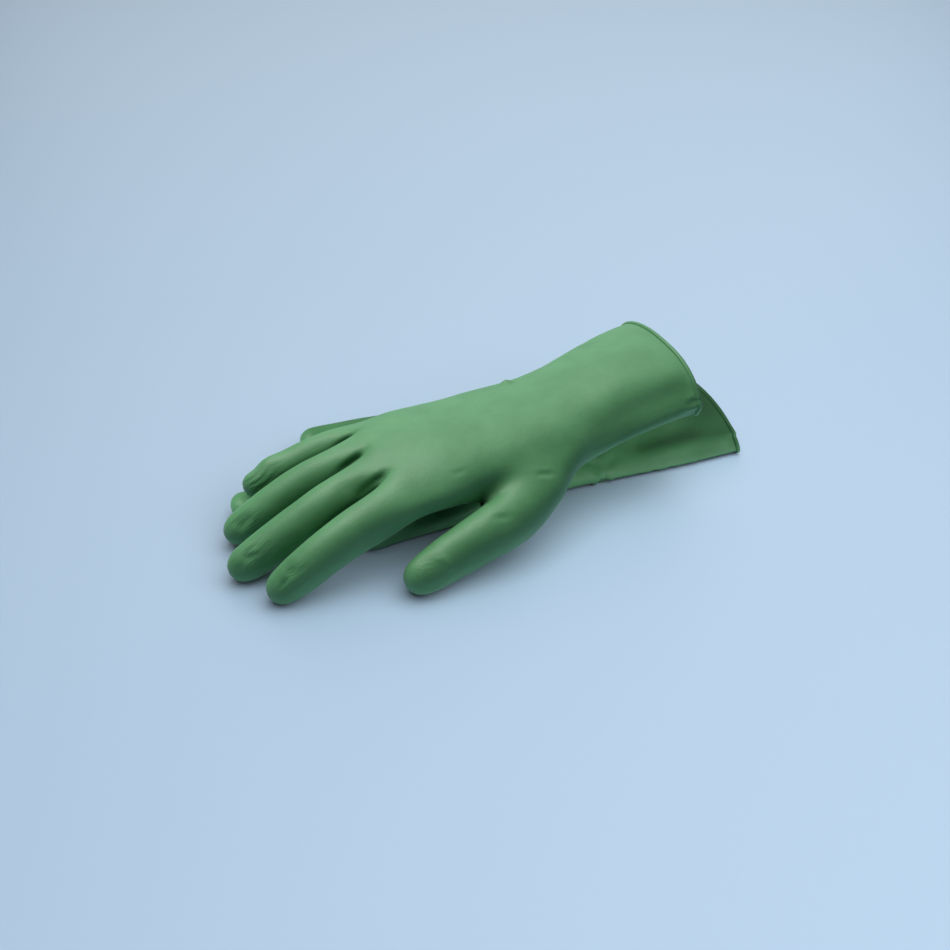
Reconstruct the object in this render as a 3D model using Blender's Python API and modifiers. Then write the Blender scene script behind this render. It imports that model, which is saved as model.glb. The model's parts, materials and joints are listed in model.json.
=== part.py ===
"""Pair of dip-moulded latex gauntlet gloves, the right one resting on the left one.

Frame: +X runs from the fingertips to the cuffs, -Y is the right thumb's side and +Z is up.
The left glove's flat underside lies on Z = 0. All the dimensions below are millimetres.
"""
import math

import bmesh
import bpy
from mathutils import Euler, Vector

MM = 0.001
SHIFT = Vector((24.07, -8.81, 0.0))     # carries the working frame to the box's centre

WALL = 1.1                # latex wall of the hand and the stalls
JOINT_GAP = 0.65          # slit between a stall and the hand
LINING_INSET = 2.3        # outer latex face to the outer flock face
LINING_WALL = 0.8         # bonded cotton flock
LINING_START = 2.5        # mouth of the gauntlet to the edge of the flock
BEAD_RADIUS = 1.6         # rolled edge of the cuff
BEAD_GAP = 0.45
BEAD_TUCK = 0.8           # outer skin to the middle of the rolled edge
PIVOT_LIFT = 0.6          # hinge axis above the outer skin at a stall's root

SECTION_POWER = 2.2       # squareness of a cross-section: 2 is an ellipse
FLAT_WIDTH = 0.97         # width of an underside that lies on the floor, as a share of the top's
FLAT_EDGE = 0.9           # share of the half width from which that underside lifts off the floor
FLAT_LIFT = 0.86          # depth of its edge, as a share of the depth
# Rings that round off a fingertip: distance past the last loop in radii, and size.
TIP_RINGS = ((0.55, 0.90), (0.98, 0.60))
TIP_END = 1.22            # cage point of the very tip past the last loop, in radii

COLUMNS = 9               # cage points across the top, and as many across the bottom
RING = 2 * COLUMNS + 2    # cage points round the hand
LOOP = 8                  # cage points round a digit
LOOP_START = 135          # degrees from the little-finger side to a loop's first point
# Smoothing draws a ring of points in to this share of its radius.
RING_LIMIT = (2 + math.cos(math.tau / RING)) / 3
LOOP_LIMIT = (2 + math.cos(math.tau / LOOP)) / 3
# Lateral place of each column, as a share of the half width: evenly round, then at the finger roots.
ROUND_COLUMNS = [-math.cos(math.pi * (j + 1) / (COLUMNS + 1)) for j in range(COLUMNS)]
ROOT_COLUMNS = [-0.95, -0.70, -0.43, -0.18, 0.08, 0.32, 0.55, 0.77, 0.95]


class Section:
    """One cross-section of the hand or gauntlet: place, half width, height above and below."""

    def __init__(self, x, y, z, half, rise, drop, root=0.0, flat=False):
        self.x = x
        self.y = y
        self.z = z
        self.half = half
        self.rise = rise
        self.drop = drop
        self.root = root      # 0 = evenly round columns, 1 = columns at the finger roots
        self.flat = flat      # underside lies on the floor

    def moved(self, distance):
        """Return the same cross-section further along X."""
        return Section(self.x + distance, self.y, self.z, self.half, self.rise, self.drop,
                       self.root, self.flat)

    def ring(self, side, inset=0.0, grow=1.0 / RING_LIMIT):
        """Return the cage points: top from thumb side to little side, side, bottom back, side."""
        half = (self.half - inset) * grow
        rise = (self.rise - inset) * grow
        drop = (self.drop - inset) * (1.0 if self.flat else grow)
        pairs = zip(ROUND_COLUMNS, ROOT_COLUMNS)
        share = [even + (rooted - even) * self.root for even, rooted in pairs]
        height = [(1.0 - abs(u) ** SECTION_POWER) ** (1 / SECTION_POWER) for u in share]
        top = [(half * u, rise * h) for u, h in zip(share, height)]
        if self.flat:
            depth = [drop * (1.0 if abs(u) < FLAT_EDGE else FLAT_LIFT) for u in share]
            low = [(half * u * FLAT_WIDTH, -d) for u, d in zip(share, depth)]
        else:
            low = [(half * u, -drop * h) for u, h in zip(share, height)]
        outline = top + [(half, 0.0)] + low[::-1] + [(-half, 0.0)]
        return [Vector((self.x, self.y + side * across, self.z + up)) for across, up in outline]


class Loop:
    """One cross-section of a digit: centre, radius, how much wider than high, outward turn."""

    def __init__(self, x, y, z, radius, wide=1.0, turn=0.0):
        self.centre = Vector((x, y, z))
        self.radius = radius
        self.wide = wide
        self.turn = turn      # degrees about Z, away from the other digits


RIGHT_BODY = [
    Section(91, 5, 54.5, 46, 21.5, 23),
    Section(72, 4, 54, 44, 20.5, 20.5),
    Section(47, 1.5, 50.5, 41, 19.5, 19),
    Section(25, -3, 46.5, 41, 18.5, 21.3),
    Section(9, -5, 44.5, 42, 18.5, 23),
    Section(-21, -5, 43, 43.5, 18.5, 22, 0.35),
    Section(-51, -5, 41.5, 45, 18, 18, 0.7),
    Section(-72, -5, 41.2, 47.5, 17.3, 16.5, 1.0),
    Section(-88, -5.5, 40, 47, 14.6, 14, 1.0),
]
RIGHT_DIGITS = {
    "index": [Loop(-106, -41.5, 36.3, 12.6), Loop(-124, -44.5, 32.5, 12.0), Loop(-140, -47, 26.5, 11.7),
              Loop(-154, -47.5, 18.0, 11.4), Loop(-163.2, -46, 11.9, 11.0)],
    "middle": [Loop(-108, -12.8, 38.5, 12.0), Loop(-126, -17.2, 35.5, 11.9), Loop(-142, -18.5, 28.5, 11.7),
               Loop(-160, -17.5, 18.5, 11.5), Loop(-174.6, -17.9, 11.9, 11.0)],
    "ring": [Loop(-107, 11.0, 38.6, 11.4), Loop(-123, 12.6, 34.0, 11.4), Loop(-138, 14.1, 27.0, 11.2),
             Loop(-154, 14.0, 18.5, 11.0), Loop(-166, 15.6, 12.2, 10.7)],
    "little": [Loop(-101, 33.7, 37.4, 10.5), Loop(-116, 35.4, 33.8, 10.2), Loop(-128, 36.2, 30.4, 10.0),
               Loop(-139, 36.4, 27.2, 9.9), Loop(-147.8, 36.4, 24.8, 9.8)],
    "thumb": [Loop(-33, -59, 26.0, 14.8, 1.25, 36), Loop(-49, -63.5, 24.6, 14.3, 1.08, 8),
              Loop(-64, -66, 20.8, 13.2), Loop(-79, -67.6, 15.8, 12.4), Loop(-93.5, -70, 12.6, 11.6)],
}
LEFT_BODY = [
    Section(134, 28, 10.5, 51, 12.5, 10.5, 0, True),
    Section(110, 28, 10.5, 50, 13.5, 10.5, 0, True),
    Section(82, 28.5, 10.5, 49.5, 13.5, 10.5, 0, True),
    Section(52, 29, 10.5, 47.5, 13.5, 10.5, 0, True),
    Section(28, 29.5, 10.5, 47.5, 13, 10.5, 0, True),
    Section(0, 27, 10.5, 47, 12, 10.5, 0.35, True),
    Section(-30, 22.5, 10.5, 45.5, 11, 10.5, 0.7, True),
    Section(-52, 19, 9.5, 44.5, 8.5, 9.5, 1.0, True),
    Section(-66, 18, 8.5, 44, 7.2, 8.4, 1.0, True),
]
LEFT_DIGITS = {
    "index": [Loop(-86, 50.4, 7.8, 7.3, 1.4), Loop(-98, 52.4, 7.6, 7.1, 1.4), Loop(-108, 53.4, 7.5, 7.0, 1.4),
              Loop(-117, 54.2, 7.5, 7.0, 1.4), Loop(-125, 54.8, 7.4, 6.9, 1.38)],
    "middle": [Loop(-87, 26.6, 7.8, 7.3, 1.4), Loop(-104, 29.0, 7.7, 7.2, 1.4), Loop(-121, 32.6, 7.6, 7.1, 1.4),
               Loop(-139, 37.4, 7.8, 7.2, 1.4), Loop(-156, 42.0, 7.9, 7.2, 1.38)],
    "ring": [Loop(-87, 4.6, 7.8, 7.3, 1.42), Loop(-98, 5.6, 7.6, 7.1, 1.42), Loop(-109, 6.8, 7.5, 7.0, 1.42),
             Loop(-119, 7.8, 7.5, 7.0, 1.4), Loop(-129, 8.8, 7.4, 6.9, 1.38)],
    "little": [Loop(-83, -16.2, 7.5, 7.0, 1.4), Loop(-89, -16.8, 7.4, 6.9, 1.4), Loop(-94, -17.4, 7.3, 6.8, 1.38),
               Loop(-98, -18.0, 7.2, 6.7, 1.36), Loop(-102, -18.6, 7.2, 6.7, 1.34)],
    "thumb": [Loop(-26, 77.5, 8.8, 8.3, 1.5, 34), Loop(-41, 81.5, 8.6, 8.1, 1.32, 8),
              Loop(-58, 84.8, 9.0, 8.3, 1.3), Loop(-77, 87.2, 9.0, 8.3, 1.26),
              Loop(-94.5, 89.4, 9.0, 8.2, 1.22)],
}
FINGERS = ("index", "middle", "ring", "little")
RIGHT_CROTCHES = (-98.0, -101.0, -95.0)      # X of the webs, from the index finger's on
LEFT_CROTCHES = (-75.0, -77.0, -74.0)
THUMB_ROW = 4             # first of the three sections that the thumb grows from
THUMB_COLUMNS = (RING - 2, RING - 1)         # quads of those rows that open into the thumb
THUMB_STUB_LOOPS = 2      # loops of the thumb that belong to the hand
RIGHT = 1
LEFT = -1
GREEN = (0.13, 0.31, 0.16)
FLOCK = (0.80, 0.78, 0.70)
LATEX_ROUGHNESS = 0.5
FLOCK_ROUGHNESS = 0.95


def shifted(points):
    """Carry working points in millimetres to row points in metres."""
    return [(point + SHIFT) * MM for point in points]


def material(name, colour, roughness):
    """One Principled material."""
    made = bpy.data.materials.new(name)
    made.use_nodes = True
    shader = made.node_tree.nodes["Principled BSDF"]
    shader.inputs["Base Color"].default_value = (*colour, 1.0)
    shader.inputs["Roughness"].default_value = roughness
    made.diffuse_color = (*colour, 1.0)
    return made


def frames(loops, side):
    """Return (centre, tangent, across, up) for each loop; across points to the little finger."""
    result = []
    for i, loop in enumerate(loops):
        before = loops[max(i - 1, 0)].centre
        after = loops[min(i + 1, len(loops) - 1)].centre
        tangent = (after - before).normalized()
        tangent.rotate(Euler((0, 0, math.radians(loop.turn * side))))
        across = Vector((0, 0, 1)).cross(tangent).normalized() * -side
        up = tangent.cross(across).normalized()
        if up.z < 0:
            up = -up
        result.append((loop.centre, tangent, across, up))
    return result


def loop_points(loop, frame, scale=1.0, push=0.0):
    """Cage points round a digit, from the thumb-side top over to the thumb side."""
    centre, tangent, across, up = frame
    radius = loop.radius * scale / LOOP_LIMIT
    points = []
    for i in range(LOOP):
        angle = math.radians(LOOP_START - i * 360 / LOOP)
        sideways = across * math.cos(angle) * radius * loop.wide
        points.append(centre + tangent * push + sideways + up * math.sin(angle) * radius)
    return points


class Cage:
    """Points and faces of an open quad surface, joined by index."""

    def __init__(self):
        self.points = []
        self.faces = []

    def add(self, points):
        """Add points and return their indices."""
        start = len(self.points)
        self.points.extend(points)
        return list(range(start, len(self.points)))

    def join(self, one, other, left_out=()):
        """Join two rings of indices with quads, save those that are left out."""
        count = len(one)
        for i in range(count):
            if i not in left_out:
                after = (i + 1) % count
                self.faces.append((one[i], one[after], other[after], other[i]))

    def cap(self, ring, point):
        """Close a ring of eight with four quads round one point."""
        centre = self.add([point])[0]
        for i in range(0, LOOP, 2):
            self.faces.append((centre, ring[i - 1], ring[i], ring[i + 1]))


def finger_root(front, webs, finger):
    """The shared points at a finger's root, in the order of loop_points."""
    start = 2 * finger
    end = RING - 2 - start
    near = webs[finger - 1] if finger > 0 else front[RING - 1]
    far = webs[finger] if finger < len(webs) else front[COLUMNS]
    return front[start:start + 3] + [far] + front[end - 2:end + 1] + [near]


def web_points(cage, front, crotches):
    """Add the point of each web between two fingers and return the indices."""
    webs = []
    for number, x in enumerate(crotches, 1):
        top = cage.points[front[2 * number]]
        low = cage.points[front[RING - 2 - 2 * number]]
        webs += cage.add([Vector((x, (top.y + low.y) / 2, (top.z + low.z) / 2))])
    return webs


def thumb_root(rings):
    """The points round the thumb's opening in the side, in the order of loop_points."""
    back, middle, front = rings[THUMB_ROW:THUMB_ROW + 3]
    under, side = THUMB_COLUMNS
    return [back[0], middle[0], front[0], front[side], front[under], middle[under], back[under], back[side]]


def hand_cage(body, digits, crotches, side):
    """Open surface of the palm, back, gauntlet and the short stubs that the stalls meet."""
    cage = Cage()
    rings = [cage.add(section.ring(side)) for section in body]
    for row, (one, other) in enumerate(zip(rings, rings[1:])):
        at_thumb = row in (THUMB_ROW, THUMB_ROW + 1)
        cage.join(one, other, THUMB_COLUMNS if at_thumb else ())
    previous = thumb_root(rings)
    for loop, frame in list(zip(digits["thumb"], frames(digits["thumb"], side)))[:THUMB_STUB_LOOPS]:
        ring = cage.add(loop_points(loop, frame))
        cage.join(previous, ring)
        previous = ring
    front = rings[-1]
    webs = web_points(cage, front, crotches)
    for finger, name in enumerate(FINGERS):
        loops = digits[name]
        ring = cage.add(loop_points(loops[0], frames(loops, side)[0]))
        cage.join(finger_root(front, webs, finger), ring)
    return cage


def stall_cage(loops, side, first):
    """Open thimble from the slit at loop number first to the rounded tip."""
    cage = Cage()
    places = frames(loops, side)
    previous = cage.add(loop_points(loops[first], places[first], push=JOINT_GAP))
    for loop, frame in zip(loops[first + 1:], places[first + 1:]):
        ring = cage.add(loop_points(loop, frame))
        cage.join(previous, ring)
        previous = ring
    last = loops[-1]
    centre, tangent = places[-1][:2]
    for push, size in TIP_RINGS:
        ring = cage.add(loop_points(last, places[-1], size, last.radius * push))
        cage.join(previous, ring)
        previous = ring
    cage.cap(previous, centre + tangent * last.radius * TIP_END)
    return cage


def settle(ring):
    """Where a smoothed cage carries the points of a closed ring."""
    count = len(ring)
    return [(ring[i - 1] + ring[i] * 4 + ring[(i + 1) % count]) / 6 for i in range(count)]


def lining_cage(body, side):
    """Sleeve inside the palm and gauntlet, open at both ends and at the thumb."""
    cage = Cage()
    sections = [body[0].moved(-LINING_START)] + body[1:-1]
    rings = [cage.add(settle(section.ring(side, LINING_INSET))) for section in sections]
    for row, (one, other) in enumerate(zip(rings, rings[1:])):
        at_thumb = row in (THUMB_ROW, THUMB_ROW + 1)
        cage.join(one, other, THUMB_COLUMNS if at_thumb else ())
    return cage


def mesh_object(name, cage, finish, collection, origin):
    """Build a mesh object from a cage, faces out, with its origin at the given point."""
    mesh = bpy.data.meshes.new(name)
    points = [point - origin for point in shifted(cage.points)]
    mesh.from_pydata(points, [], cage.faces)
    edit = bmesh.new()
    edit.from_mesh(mesh)
    bmesh.ops.recalc_face_normals(edit, faces=edit.faces)
    highest = max(edit.faces, key=lambda face: face.calc_center_median().z)
    if highest.normal.z < 0:
        bmesh.ops.reverse_faces(edit, faces=edit.faces)
    edit.to_mesh(mesh)
    edit.free()
    made = bpy.data.objects.new(name, mesh)
    made.location = origin
    collection.objects.link(made)
    mesh.materials.append(finish)
    return made


def round_off(made):
    """Smooth a coarse cage."""
    smooth = made.modifiers.new("round", "SUBSURF")
    smooth.levels = 1
    smooth.render_levels = 1


def thicken(made, wall):
    """Give an open surface its wall, inwards."""
    solid = made.modifiers.new("wall", "SOLIDIFY")
    solid.thickness = wall * MM
    solid.offset = -1.0
    solid.use_rim = True


def bead(name, mouth, side, finish, collection):
    """Rolled edge: a round cord swept along the mouth."""
    path = mouth.moved(BEAD_RADIUS + BEAD_GAP)
    inset = BEAD_RADIUS if mouth.flat else BEAD_TUCK
    points = shifted(path.ring(side, inset, grow=1.0))
    curve = bpy.data.curves.new(name, "CURVE")
    curve.dimensions = "3D"
    curve.bevel_depth = BEAD_RADIUS * MM
    curve.bevel_resolution = 1
    curve.resolution_u = 2
    curve.use_fill_caps = True
    spline = curve.splines.new("NURBS")
    spline.points.add(len(points) - 1)
    for slot, point in zip(spline.points, points):
        slot.co = (*point, 1.0)
    spline.use_cyclic_u = True
    spline.order_u = 4
    made = bpy.data.objects.new(name, curve)
    collection.objects.link(made)
    curve.materials.append(finish)


def hinge_point(loops, side, first):
    """Point on a stall's hinge axis: just above the outer skin at its root."""
    centre, tangent, across, up = frames(loops, side)[first]
    return centre + up * (loops[first].radius + PIVOT_LIFT)


def build_hand(hand, body, digits, crotches, side, collection):
    """Build the hand shell of one glove."""
    latex = material(hand + "_hand_latex", GREEN, LATEX_ROUGHNESS)
    cage = hand_cage(body, digits, crotches, side)
    shell = mesh_object(hand + "_hand_shell", cage, latex, collection, Vector())
    round_off(shell)
    thicken(shell, WALL)


def build_stalls(hand, digits, side, collection):
    """Build the five stalls of one glove, each with its origin on its hinge."""
    for name, loops in digits.items():
        first = THUMB_STUB_LOOPS - 1 if name == "thumb" else 0
        pivot = shifted([hinge_point(loops, side, first)])[0]
        latex = material(f"{hand}_{name}_latex", GREEN, LATEX_ROUGHNESS)
        cage = stall_cage(loops, side, first)
        stall = mesh_object(f"{hand}_{name}_stall", cage, latex, collection, pivot)
        round_off(stall)
        thicken(stall, WALL)


def build_glove(hand, body, digits, crotches, side, collection):
    """Build one glove's nodes."""
    build_hand(hand, body, digits, crotches, side, collection)
    build_stalls(hand, digits, side, collection)
    flock = material(hand + "_cotton_flock", FLOCK, FLOCK_ROUGHNESS)
    sleeve = mesh_object(hand + "_flock_lining", lining_cage(body, side), flock, collection, Vector())
    thicken(sleeve, LINING_WALL)
    rolled = material(hand + "_bead_latex", GREEN, LATEX_ROUGHNESS)
    bead(hand + "_cuff_bead", body[0], side, rolled, collection)


def main():
    """Clear the scene and build both gloves."""
    for old in list(bpy.data.objects):
        bpy.data.objects.remove(old, do_unlink=True)
    collection = bpy.data.collections.new("gardening_gloves")
    bpy.context.scene.collection.children.link(collection)
    build_glove("right", RIGHT_BODY, RIGHT_DIGITS, RIGHT_CROTCHES, RIGHT, collection)
    build_glove("left", LEFT_BODY, LEFT_DIGITS, LEFT_CROTCHES, LEFT, collection)


main()
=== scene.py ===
"""A pair of dip-moulded latex gauntlet gloves for the garden, the right one resting on the left one.

All the shapes are worked out in millimetres in the glove maker's frame: +X runs from the fingertips to the
cuffs, -Y is the side of the right thumb and the left glove's underside lies on Z = 0.
"""
import json
import logging
import math
from dataclasses import dataclass, field
from enum import Enum

import bmesh
import bpy
import numpy as np
from mathutils import Euler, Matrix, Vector, noise

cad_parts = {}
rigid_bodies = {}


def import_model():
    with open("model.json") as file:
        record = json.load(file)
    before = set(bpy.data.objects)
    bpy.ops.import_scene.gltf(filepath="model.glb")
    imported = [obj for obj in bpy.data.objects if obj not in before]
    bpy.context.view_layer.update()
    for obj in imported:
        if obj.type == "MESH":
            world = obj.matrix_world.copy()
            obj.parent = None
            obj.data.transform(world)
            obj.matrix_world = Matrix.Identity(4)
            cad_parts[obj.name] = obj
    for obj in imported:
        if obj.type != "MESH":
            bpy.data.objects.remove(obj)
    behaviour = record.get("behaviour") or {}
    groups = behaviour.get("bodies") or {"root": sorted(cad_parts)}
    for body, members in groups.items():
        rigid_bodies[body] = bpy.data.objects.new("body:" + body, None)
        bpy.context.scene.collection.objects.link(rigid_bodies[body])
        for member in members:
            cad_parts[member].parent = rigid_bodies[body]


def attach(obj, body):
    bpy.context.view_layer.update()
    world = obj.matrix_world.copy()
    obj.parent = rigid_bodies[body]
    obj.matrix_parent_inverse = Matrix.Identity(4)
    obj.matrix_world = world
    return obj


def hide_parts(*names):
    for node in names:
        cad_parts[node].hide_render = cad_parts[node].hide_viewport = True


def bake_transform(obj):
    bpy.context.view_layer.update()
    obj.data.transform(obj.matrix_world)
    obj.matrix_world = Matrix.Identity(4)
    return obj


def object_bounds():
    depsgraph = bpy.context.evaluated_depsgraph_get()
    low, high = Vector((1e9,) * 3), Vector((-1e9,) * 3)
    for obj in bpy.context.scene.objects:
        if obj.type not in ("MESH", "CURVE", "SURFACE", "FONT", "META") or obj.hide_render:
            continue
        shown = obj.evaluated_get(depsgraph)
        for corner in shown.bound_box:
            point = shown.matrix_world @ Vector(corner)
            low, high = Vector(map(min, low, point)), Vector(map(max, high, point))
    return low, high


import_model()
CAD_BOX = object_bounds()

MM = 0.001
ORIGIN = Vector((24.07, -8.81, 0.0))     # carries the maker's frame to the CAD's own
COLUMNS = 9                              # cage points across the back of the hand
RING = 2 * COLUMNS + 2
LOOP = 8                                 # cage points round a digit
LOOP_START = 135.0                       # degrees from the little finger's side up to a loop's first point
THUMB_SIDE = RING - 1
LITTLE_SIDE = COLUMNS
RING_LIMIT = (2 + math.cos(math.tau / RING)) / 3
LOOP_LIMIT = (2 + math.cos(math.tau / LOOP)) / 3
PALM = 0                                 # mark of the quads of the palm and gauntlet
STUB = 9                                 # mark of the hand's quads between the palm and a digit
TINY = 1e-12                             # keeps a length of nothing from being divided by
REST = "rest_mm"                         # each point's place at rest, for the patterns

log = logging.getLogger("gloves")


class Side(Enum):
    """Which hand a glove is for: the sign of its thumb's side."""

    RIGHT = 1
    LEFT = -1


def linear(code: str) -> tuple[float, float, float, float]:
    """Turn an sRGB hex colour into a linear one.

    Args:
        code: six hex digits, with or without a leading hash.

    Returns:
        Red, green, blue and an alpha of 1.
    """
    code = code.lstrip("#")
    parts = [int(code[i:i + 2], 16) / 255 for i in (0, 2, 4)]
    low = [c / 12.92 if c <= 0.04045 else ((c + 0.055) / 1.055) ** 2.4 for c in parts]
    return (low[0], low[1], low[2], 1.0)


def add(tree: bpy.types.NodeTree, kind: str, settings: dict | None = None, **links: object) -> bpy.types.Node:
    """Add one node to a tree with its settings and its inputs.

    Args:
        tree: the node tree.
        kind: the node's type.
        settings: attributes of the node.
        links: input names with underscores for spaces; a socket is linked and any other value is set.

    Returns:
        The new node.
    """
    node = tree.nodes.new(kind)
    for name, value in (settings or {}).items():
        setattr(node, name, value)
    for name, value in links.items():
        key = name.replace("_", " ")
        socket = node.inputs[int(key[1:])] if key[0] == "i" and key[1:].isdigit() else node.inputs[key]
        if isinstance(value, bpy.types.NodeSocket):
            tree.links.new(value, socket)
        else:
            socket.default_value = value
    return node


def unit(vectors: np.ndarray) -> np.ndarray:
    """Return the vectors at a length of 1."""
    return vectors / np.maximum(np.linalg.norm(vectors, axis=1, keepdims=True), TINY)


def face_directions(points: np.ndarray, faces: np.ndarray) -> np.ndarray:
    """Find which way each face looks, from the cross product of its diagonals.

    Args:
        points: one row for each point.
        faces: one row of four numbers for each face.

    Returns:
        One direction for each face, twice as long as the face's area.
    """
    first, second, third, fourth = (points[faces[:, corner]] for corner in range(4))
    return np.cross(third - first, fourth - second)


def face_sides(faces: np.ndarray) -> np.ndarray:
    """Return every face's four sides as pairs of point numbers."""
    return np.concatenate([faces[:, [corner, (corner + 1) % 4]] for corner in range(4)])


@dataclass(frozen=True)
class DippedLatex:
    """Natural rubber latex, dipped on a hand-shaped former and cured.

    It gives the eye a dense green of one pigment with faint clouds, painted shade that makes it darker in
    narrow slits, a satin face without a sharp highlight, and a fine unevenness where the cotton flock shows
    through the wall.
    """

    name: str
    base: str = "#599564"
    deep: str = "#508B5B"
    painted_shade: str = "#24522F"             # painted shade: the darker green laid into the colour deep in a slit, where two walls nearly touch
    painted_shade_mm: float = 7.0              # how near the other wall is when the painted shade starts
    painted_shade_range: tuple[float, float] = (0.25, 0.85)    # openness of the deepest and the mildest slit, from full painted shade to none
    cloud_range: tuple[float, float] = (0.35, 0.65)      # of the noise, from base to deep
    roughness: float = 0.50
    satin_range: tuple[float, float] = (0.3, 0.7)        # of the noise, from smoothest to roughest
    satin_spread: float = 0.05           # how far the roughness wanders
    ior: float = 1.52
    specular: float = 0.3                # the powdery bloom of dry latex dulls its shine
    bloom: float = 0.08                  # and greys what is lit from above
    bloom_roughness: float = 0.5
    cloud_mm: float = 26.0               # drift of the dip's thickness
    grain_mm: float = 1.2                # flock print, drawn coarser than its 0.4 mm so that it shows
    grain_depth_mm: float = 0.09
    pucker_mm: float = 5.0               # faint pull marks from the former
    pucker_depth_mm: float = 0.12

    def material(self) -> bpy.types.Material:
        """Build the node material.

        Returns:
            The new material.
        """
        made = bpy.data.materials.new(self.name)
        made.use_nodes = True
        tree = made.node_tree
        tree.nodes.clear()
        place = add(tree, "ShaderNodeAttribute", {"attribute_name": REST}).outputs["Vector"]
        cloud = add(tree, "ShaderNodeTexNoise", Vector=place, Scale=1 / self.cloud_mm, Detail=3.0,
                    Roughness=0.55)
        grain = add(tree, "ShaderNodeTexNoise", Vector=place, Scale=1 / self.grain_mm, Detail=2.0,
                    Roughness=0.6)
        pucker = add(tree, "ShaderNodeTexNoise", Vector=place, Scale=1 / self.pucker_mm, Detail=2.0,
                     Roughness=0.5)
        tone = add(tree, "ShaderNodeMapRange", Value=cloud.outputs["Fac"], From_Min=self.cloud_range[0],
                   From_Max=self.cloud_range[1])
        clouded = add(tree, "ShaderNodeMix", {"data_type": "RGBA"}, Factor=tone.outputs["Result"],
                      i6=linear(self.base), i7=linear(self.deep))
        # painted shade: ambient occlusion darkens the base colour in slits, webs and where the glove nears the
        # floor
        openness = add(tree, "ShaderNodeAmbientOcclusion", {"samples": 8}, Distance=self.painted_shade_mm * MM)
        slit = add(tree, "ShaderNodeMapRange", Value=openness.outputs["AO"], From_Min=self.painted_shade_range[0],
                   From_Max=self.painted_shade_range[1])
        colour = add(tree, "ShaderNodeMix", {"data_type": "RGBA"}, Factor=slit.outputs["Result"],
                     i6=linear(self.painted_shade), i7=clouded.outputs[2])
        satin = add(tree, "ShaderNodeMapRange", Value=grain.outputs["Fac"], From_Min=self.satin_range[0],
                    From_Max=self.satin_range[1], To_Min=self.roughness - self.satin_spread,
                    To_Max=self.roughness + self.satin_spread)
        low = add(tree, "ShaderNodeBump", Height=pucker.outputs["Fac"], Strength=1.0,
                  Distance=self.pucker_depth_mm * MM)
        fine = add(tree, "ShaderNodeBump", Height=grain.outputs["Fac"], Strength=1.0,
                   Distance=self.grain_depth_mm * MM, Normal=low.outputs["Normal"])
        shader = add(tree, "ShaderNodeBsdfPrincipled", Base_Color=colour.outputs[2], IOR=self.ior,
                     Specular_IOR_Level=self.specular, Roughness=satin.outputs["Result"],
                     Sheen_Weight=self.bloom, Sheen_Roughness=self.bloom_roughness,
                     Normal=fine.outputs["Normal"])
        add(tree, "ShaderNodeOutputMaterial", Surface=shader.outputs["BSDF"])
        return made


@dataclass(frozen=True)
class BondedFlock:
    """Short cotton fibres blown onto the wet inner face and bonded.

    It gives the eye a dull off-white nap with a soft bright rim and small tufts.
    """

    name: str
    base: str = "#D9D4C3"
    deep: str = "#BDB7A4"
    roughness: float = 0.95
    tuft_mm: float = 2.2
    fibre_mm: float = 0.7                # real fibres are 0.4 mm long and 0.02 mm thick
    nap_mm: float = 0.25
    rim: float = 0.35                    # fibre ends catch the light at a grazing angle
    rim_roughness: float = 0.6

    def material(self) -> bpy.types.Material:
        """Build the node material.

        Returns:
            The new material.
        """
        made = bpy.data.materials.new(self.name)
        made.use_nodes = True
        tree = made.node_tree
        tree.nodes.clear()
        place = add(tree, "ShaderNodeAttribute", {"attribute_name": REST}).outputs["Vector"]
        tuft = add(tree, "ShaderNodeTexNoise", Vector=place, Scale=1 / self.tuft_mm, Detail=3.0, Roughness=0.7)
        fibre = add(tree, "ShaderNodeTexNoise", Vector=place, Scale=1 / self.fibre_mm, Detail=3.0,
                    Roughness=0.8)
        colour = add(tree, "ShaderNodeMix", {"data_type": "RGBA"}, Factor=tuft.outputs["Fac"],
                     i6=linear(self.base), i7=linear(self.deep))
        low = add(tree, "ShaderNodeBump", Height=tuft.outputs["Fac"], Strength=1.0, Distance=self.nap_mm * MM)
        fine = add(tree, "ShaderNodeBump", Height=fibre.outputs["Fac"], Strength=1.0, Distance=self.nap_mm * MM,
                   Normal=low.outputs["Normal"])
        shader = add(tree, "ShaderNodeBsdfPrincipled", Base_Color=colour.outputs[2], Roughness=self.roughness,
                     Sheen_Weight=self.rim, Sheen_Roughness=self.rim_roughness,
                     Normal=fine.outputs["Normal"])
        add(tree, "ShaderNodeOutputMaterial", Surface=shader.outputs["BSDF"])
        return made


@dataclass(frozen=True)
class SeamlessSweep:
    """Matt painted board of a studio table: a pale cool grey without any pattern."""

    name: str = "painted_board"
    base: str = "#B0BCC4"
    roughness: float = 0.5

    def material(self) -> bpy.types.Material:
        """Build the node material.

        Returns:
            The new material.
        """
        made = bpy.data.materials.new(self.name)
        made.use_nodes = True
        shader = made.node_tree.nodes["Principled BSDF"]
        shader.inputs["Base Color"].default_value = linear(self.base)
        shader.inputs["Roughness"].default_value = self.roughness
        return made


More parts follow.
